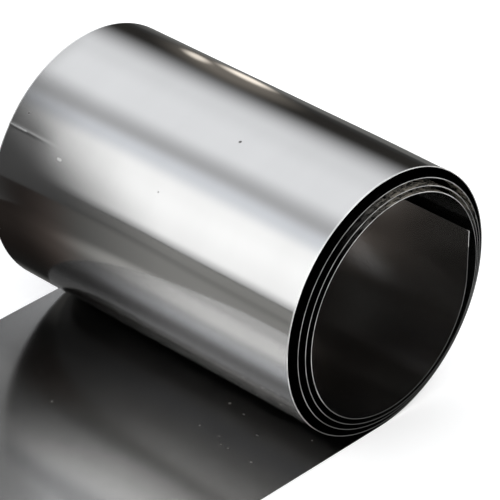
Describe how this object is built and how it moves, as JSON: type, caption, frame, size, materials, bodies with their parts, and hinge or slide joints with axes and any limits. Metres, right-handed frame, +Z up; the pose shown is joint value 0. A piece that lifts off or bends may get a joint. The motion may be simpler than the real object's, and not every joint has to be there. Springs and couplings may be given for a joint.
{
  "type": "stainless steel shim sheet",
  "caption": "Thin bright steel shim sheet, rolled into a loose open coil that lies on its own flat tail; cut or unrolled for packing, spacing and lining.",
  "frame": {"origin": "middle of the whole sheet's footprint, on the floor plane", "axes": "+X along the tail towards the roll, +Y along the roll's axis, +Z up"},
  "size_m": [0.18, 0.1, 0.07],
  "materials": {
    "steel": "bright rolled, with a fine grain around the roll"
  },
  "bodies": {
    "root": {"shim_sheet": "steel"}
  },
  "joints": []
}
